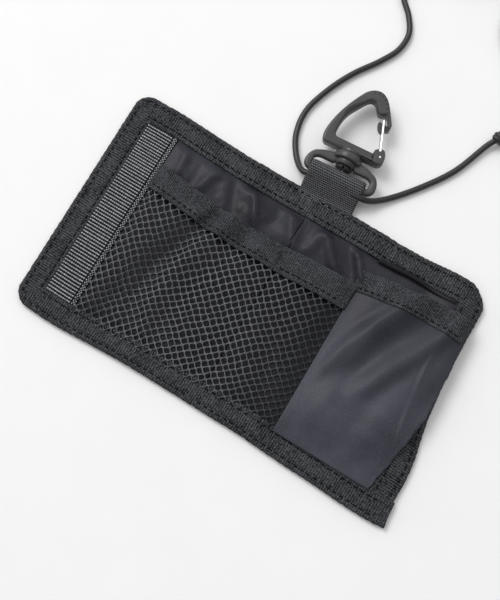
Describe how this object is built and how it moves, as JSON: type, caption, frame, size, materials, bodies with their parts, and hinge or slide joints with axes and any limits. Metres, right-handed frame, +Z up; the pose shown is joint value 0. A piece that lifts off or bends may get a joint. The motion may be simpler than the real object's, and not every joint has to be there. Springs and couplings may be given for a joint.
{
  "type": "neck pouch wallet",
  "caption": "Open three-panel fabric neck wallet with mesh and coin pockets, hook-and-loop strip, neck cord and swivelling snap hook.",
  "frame": {"origin": "middle of the open wallet's back face", "axes": "+X along the open wallet, +Y towards the snap hook, +Z up out of the pockets"},
  "size_m": [0.186, 0.2753, 0.0129],
  "materials": {
    "shell": "matt woven nylon, charcoal",
    "satin": "satin lining, bluish charcoal",
    "border_tape": "grosgrain tape, dark charcoal",
    "hook_tape": "hook side of hook-and-loop tape, grey",
    "loop_tape": "loop side of hook-and-loop tape, charcoal",
    "mesh": "knitted mesh, grey",
    "webbing": "ribbed webbing, dark charcoal",
    "black_plastic": "satin moulded plastic, black",
    "steel_wire": "bright steel wire",
    "cord": "braided round cord, dark grey"
  },
  "bodies": {
    "middle_panel": {"shell_middle": "shell", "lining_middle": "satin", "binding_top_middle": "border_tape", "binding_bottom_middle": "border_tape", "mesh_pocket_middle": "mesh", "mesh_binding_middle": "border_tape", "webbing_tab": "webbing", "neck_cord_left": "cord", "neck_cord_right": "cord", "cord_knot": "cord", "cord_coil": "cord", "coil_tie": "black_plastic"},
    "left_panel": {"shell_left": "shell", "lining_left": "satin", "binding_top_left": "border_tape", "binding_bottom_left": "border_tape", "binding_left": "border_tape", "hook_tape": "hook_tape", "mesh_pocket_left": "mesh", "mesh_binding_left": "border_tape"},
    "right_panel": {"shell_right": "shell", "lining_right": "satin", "binding_top_right": "border_tape", "binding_bottom_right": "border_tape", "binding_right": "border_tape", "loop_tape": "loop_tape", "coin_pocket": "satin", "coin_pocket_binding": "border_tape"},
    "ring": {"swivel_ring": "black_plastic"},
    "hook": {"hook_body": "black_plastic"},
    "gate": {"wire_gate": "steel_wire"}
  },
  "joints": [
    {"name": "fold_right", "type": "hinge", "parent": "middle_panel", "child": "right_panel", "pos_m": [0.0315, 0, 0.0066], "axis": [0, -1, 0], "range_deg": [0, 180]},
    {"name": "fold_left", "type": "hinge", "parent": "middle_panel", "child": "left_panel", "pos_m": [-0.031, 0, 0.009], "axis": [0, 1, 0], "range_deg": [0, 180]},
    {"name": "ring_swing", "type": "hinge", "parent": "middle_panel", "child": "ring", "pos_m": [0.0026, 0.0622, 0.0065], "axis": [0.9969, 0.0785, 0], "range_deg": [-10, 90]},
    {"name": "hook_swivel", "type": "hinge", "parent": "ring", "child": "hook", "pos_m": [0.0026, 0.0622, 0.0065], "axis": [-0.0785, 0.9969, 0], "continuous": true},
    {"name": "gate_pivot", "type": "hinge", "parent": "hook", "child": "gate", "pos_m": [0.01348, 0.07951, 0.0065], "axis": [0, 0, 1], "range_deg": [0, 24], "stiffness_Nm_per_rad": 0.02}
  ]
}
